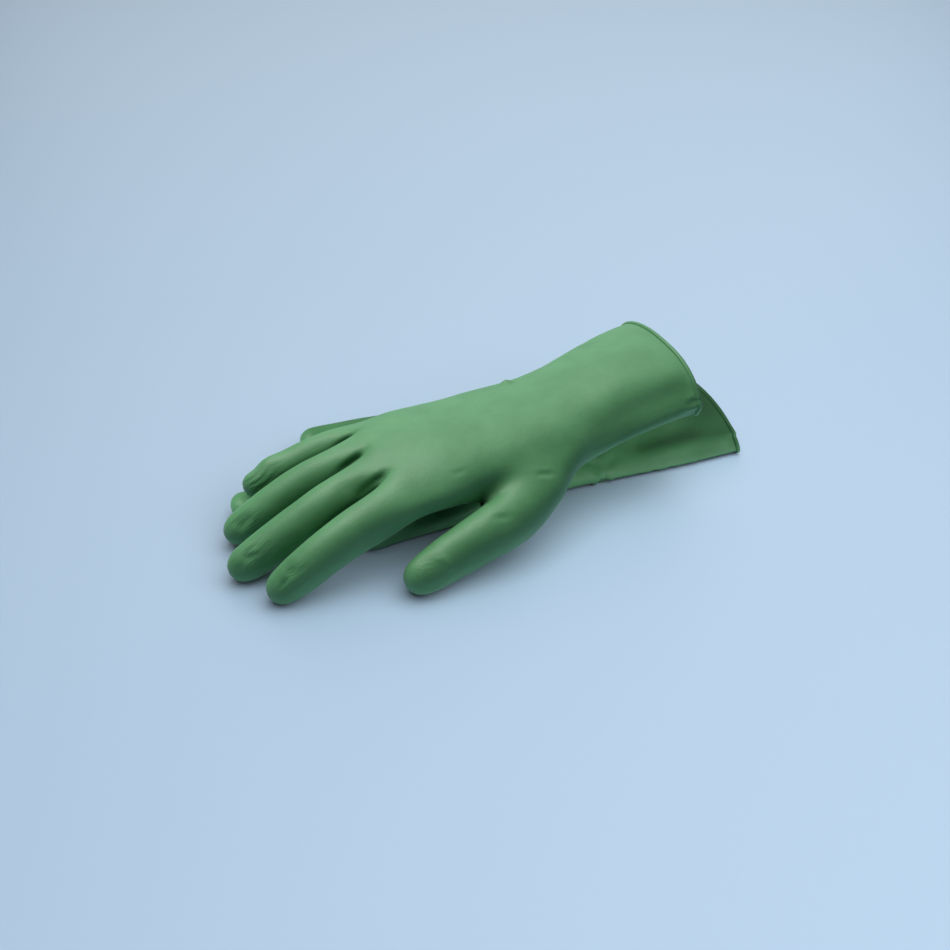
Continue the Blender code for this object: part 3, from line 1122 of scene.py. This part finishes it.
def left_marks() -> list[Mark]:
    """List the folds, dents and ripples of the lower glove.

    Returns:
        The marks.
    """
    return [
        Swell(30.0, 0.4, 5.9), Swell(12.0, 0.15, 3.4),
        Fold(((134, -17, 10), (110, -15, 12), (85, -14, 12), (60, -13, 12)), 5.0, 1.3, (0.0, 0.3)),
        Fold(((124, -4, 20), (105, -6, 21), (78, -8, 20), (60, -10, 20)), 9.0, -4.0, (0.25, 0.3)),
        Fold(((40, -10, 16), (43.5, -15, 8), (45, -18.5, 2)), 2.4, -2.0, (0.3, 0.02), 0.6),
        Fold(((47, -14, 9), (60, -9, 15)), 2.4, -0.9, (0.1, 0.6), 0.3),
        Fold(((131.5, -20, 17), (131.5, -8, 21), (131.5, 8, 22.5)), 1.6, -0.9, (0.1, 0.5)),
        Ripples((80, -15, 10), (1.0, 0.4, 0.3), 20.0, 9.0, 0.7), Dent((118, -14, 12), 9.0, -1.0),
    ]


def right_glove() -> Glove:
    """Size the upper glove: palm down, rounded out, with its fingers drooping to the floor.

    Returns:
        The glove, not yet built.
    """
    sections = (
        Section(91, 5, 54.5, 46, 21.5, 23, under=1.45, crease=-0.12),
        Section(72, 4, 54, 44, 20.5, 20.5, under=1.45, crease=-0.25),
        Section(47, 1.5, 50.5, 41, 19.5, 19, under=1.5, crease=-0.32),
        Section(25, -3, 46.5, 41, 18.5, 21.3, under=1.7, crease=-0.22),
        Section(9, -5, 44.5, 42, 18.5, 23, under=2.0, crease=-0.1),
        Section(-21, -5, 43, 43.5, 18.5, 22, 0.35),
        Section(-51, -5, 41.5, 45, 18, 18, 0.7),
        Section(-72, -5, 41.2, 47.5, 17.3, 16.5, 1.0),
        Section(-88, -5.5, 40, 47, 14.6, 14, 1.0),
    )
    digits = (
        Digit("index", (Loop(-106, -41.5, 36.3, 12.6), Loop(-124, -44.5, 32.5, 12.0),
                        Loop(-140, -47, 26.5, 11.7), Loop(-154, -47.5, 18.0, 11.4),
                        Loop(-163.2, -46, 11.4, 10.3)), "right_index"),
        Digit("middle", (Loop(-108, -12.8, 38.5, 12.0), Loop(-126, -17.2, 35.5, 11.9),
                         Loop(-142, -18.5, 28.5, 11.7), Loop(-160, -17.5, 18.5, 11.5),
                         Loop(-174.6, -17.9, 11.4, 10.3)), "right_middle"),
        Digit("ring", (Loop(-107, 11.0, 38.6, 11.4), Loop(-123, 12.6, 34.0, 11.4),
                       Loop(-138, 14.1, 27.0, 11.2), Loop(-154, 14.0, 18.5, 11.0),
                       Loop(-166, 15.6, 11.7, 10.0)), "right_ring"),
        Digit("little", (Loop(-101, 33.7, 37.4, 10.5), Loop(-116, 35.4, 33.8, 10.2),
                         Loop(-128, 36.2, 30.4, 10.0), Loop(-139, 36.4, 27.2, 9.9),
                         Loop(-147.8, 36.4, 24.4, 9.1)), "right_little"),
        Digit("thumb", (Loop(-33, -59, 26.0, 14.8, 1.25, 36), Loop(-49, -64.6, 24.6, 13.8, 1.08, 8),
                        Loop(-64, -66, 20.8, 13.2), Loop(-79, -67.6, 15.8, 12.4),
                        Loop(-93.5, -70, 12.1, 10.9)), "right_thumb", seam=1),
    )
    return Glove("right", Side.RIGHT, sections, digits, (-102.0, -106.0, -99.0), (5.0, 9.0, 8.0),
                 right_marks(), levels=4)


def left_glove() -> Glove:
    """Size the lower glove: palm down and pressed flat under the other one.

    Returns:
        The glove, not yet built.
    """
    body = "left_glove"
    sections = (
        Section(134, 28, 10.5, 51, 12.5, 10.5, 0, True, over=1.7, crease=0.78),
        Section(110, 28, 10.5, 50, 13.5, 10.5, 0, True, over=1.7, crease=0.82),
        Section(82, 28.5, 10.5, 49.5, 13.5, 10.5, 0, True, over=1.8, crease=0.82),
        Section(52, 29, 10.5, 47.5, 13.5, 10.5, 0, True, over=1.9, crease=0.75),
        Section(28, 29.5, 10.5, 47.5, 13, 10.5, 0, True, crease=0.5),
        Section(0, 27, 10.5, 47, 12, 10.5, 0.35, True),
        Section(-30, 22.5, 10.5, 45.5, 11, 10.5, 0.7, True),
        Section(-52, 19, 9.5, 44.5, 8.5, 9.5, 1.0, True),
        Section(-66, 18, 8.5, 44, 7.2, 8.4, 1.0, True),
    )
    digits = (
        Digit("index", (Loop(-86, 50.4, 7.8, 7.3, 1.4), Loop(-98, 52.4, 7.6, 7.1, 1.4),
                        Loop(-108, 53.4, 7.5, 7.0, 1.4), Loop(-117, 54.2, 7.5, 7.0, 1.4),
                        Loop(-125, 54.8, 7.4, 6.9, 1.38)), body),
        Digit("middle", (Loop(-87, 26.6, 7.8, 7.3, 1.4), Loop(-104, 29.0, 7.7, 7.2, 1.4),
                         Loop(-121, 32.6, 7.6, 7.1, 1.4), Loop(-139, 37.4, 7.8, 7.2, 1.4),
                         Loop(-156, 42.0, 7.9, 7.2, 1.38)), body),
        Digit("ring", (Loop(-87, 4.6, 7.8, 7.3, 1.42), Loop(-98, 5.6, 7.6, 7.1, 1.42),
                       Loop(-109, 6.8, 7.5, 7.0, 1.42), Loop(-119, 7.8, 7.5, 7.0, 1.4),
                       Loop(-129, 8.8, 7.4, 6.9, 1.38)), body),
        Digit("little", (Loop(-83, -16.2, 7.5, 7.0, 1.4), Loop(-89, -16.8, 7.4, 6.9, 1.4),
                         Loop(-94, -17.4, 7.3, 6.8, 1.38), Loop(-98, -18.0, 7.2, 6.7, 1.36),
                         Loop(-102, -18.6, 7.2, 6.7, 1.34)), body),
        Digit("thumb", (Loop(-26, 77.5, 8.8, 8.3, 1.5, 34), Loop(-41, 81.5, 8.6, 8.1, 1.32, 8),
                        Loop(-58, 84.8, 9.0, 8.3, 1.3), Loop(-77, 87.2, 9.0, 8.3, 1.26),
                        Loop(-94.5, 89.4, 9.0, 8.2, 1.22)), "left_thumb", seam=1),
    )
    return Glove("left", Side.LEFT, sections, digits, (-75.0, -77.0, -74.0), (0.0, 0.0, 0.0),
                 left_marks(), levels=3)


@dataclass(frozen=True)
class Studio:
    """The pale floor, the soft lights and the camera."""

    floor_side: float = 8.0
    azimuth: float = -25.74              # degrees, 0 looks along +Y
    elevation: float = 32.11
    distance: float = 0.9723
    target: tuple[float, float, float] = (-0.01153, -0.01938, 0.025)
    lens: float = 65.0
    sensor: float = 36.0
    ambient: str = "#DCE6F2"
    ambient_strength: float = 0.10

    def build(self, board: bpy.types.Material) -> None:
        """Set up the whole studio.

        Args:
            board: the floor's material.
        """
        floor = self.floor(board)
        self.world()
        overhead = self.lamp("overhead_softbox", (-0.2, 0.5, 1.25), (0.0, 0.0, 0.0), 0.9, 21.0, "#FFFDFA")
        back = self.lamp("back_panel", (0.5, 1.05, 0.75), (0.0, 0.0, 0.05), 1.3, 5.5, "#F4FAFF")
        fill = self.lamp("low_fill", (0.35, -1.0, 0.28), (0.08, 0.0, 0.0), 0.6, 4.8, "#FFFFFF")
        soft = self.lamp("lower_softbox", (-0.62, 0.25, 0.82), (0.0, 0.0, 0.0), 0.45, 10.0, "#FFFDFA")
        table = self.lamp("table_light", (0.25, -0.5, 1.25), (0.0, -0.1, 0.0), 2.5, 53.0, "#D8E8FA")
        # the lower glove lies in the upper one's shade, so lamps of its own light it; the floor has one too
        lower = [piece for piece in bpy.context.scene.objects
                 if piece.name.startswith("left_") and piece.name.endswith(("_skin", "_roll", "_sleeve"))]
        links = ((overhead, "EXCLUDE", [floor, *lower]), (back, "EXCLUDE", lower), (table, "INCLUDE", [floor]),
                 (fill, "INCLUDE", lower), (soft, "INCLUDE", lower))
        for lamp, state, pieces in links:
            linked = bpy.data.collections.new(f"{lamp.name}_receivers")
            for number, piece in enumerate(pieces):
                linked.objects.link(piece)
                linked.collection_objects[number].light_linking.link_state = state
            lamp.light_linking.receiver_collection = linked
        self.camera()

    def floor(self, board: bpy.types.Material) -> bpy.types.Object:
        """Lay the floor just under the gloves.

        Args:
            board: the floor's material.

        Returns:
            The floor.
        """
        half = self.floor_side / 2
        mesh = bpy.data.meshes.new("floor")
        level = float(CAD_BOX[0][2])
        corners = [(-half, -half, level), (half, -half, level), (half, half, level), (-half, half, level)]
        mesh.from_pydata(corners, [], [(0, 1, 2, 3)])
        made = bpy.data.objects.new("floor", mesh)
        mesh.materials.append(board)
        bpy.context.scene.collection.objects.link(made)
        return made

    def world(self) -> None:
        """Fill the room with a faint even light."""
        world = bpy.data.worlds.new("studio")
        bpy.context.scene.world = world
        world.use_nodes = True
        shader = world.node_tree.nodes["Background"]
        shader.inputs["Color"].default_value = linear(self.ambient)
        shader.inputs["Strength"].default_value = self.ambient_strength

    def lamp(self, name: str, place: tuple[float, float, float], aim: tuple[float, float, float], side: float,
             power: float, colour: str) -> bpy.types.Object:
        """Hang one square softbox.

        Args:
            name: the lamp's name.
            place: where it hangs, in metres.
            aim: what it points at.
            side: the length of its side.
            power: its power in watts.
            colour: its colour in sRGB hex.

        Returns:
            The lamp.
        """
        light = bpy.data.lights.new(name, "AREA")
        light.shape = "SQUARE"
        light.size = side
        light.energy = power
        light.color = linear(colour)[:3]
        made = bpy.data.objects.new(name, light)
        made.location = place
        made.rotation_euler = (Vector(aim) - Vector(place)).to_track_quat("-Z", "Y").to_euler()
        bpy.context.scene.collection.objects.link(made)
        return made

    def camera(self) -> None:
        """Set up the camera."""
        turn, tilt = math.radians(self.azimuth), math.radians(self.elevation)
        back = Vector((math.sin(turn) * math.cos(tilt), -math.cos(turn) * math.cos(tilt), math.sin(tilt)))
        lens = bpy.data.cameras.new("camera")
        lens.lens = self.lens
        lens.sensor_width = self.sensor
        made = bpy.data.objects.new("camera", lens)
        made.location = Vector(self.target) + back * self.distance
        made.rotation_euler = (-back).to_track_quat("-Z", "Y").to_euler()
        bpy.context.scene.collection.objects.link(made)
        bpy.context.scene.camera = made


def main() -> None:
    """Build both gloves and the studio."""
    logging.basicConfig(level=logging.INFO, format="%(message)s")
    bpy.context.scene.view_settings.view_transform = "Standard"
    latex = DippedLatex("dipped_natural_latex").material()
    flock = BondedFlock("bonded_cotton_flock").material()
    for glove in (right_glove(), left_glove()):
        glove.build(latex, flock)
    Studio().build(SeamlessSweep().material())


if __name__ == "__main__":
    main()
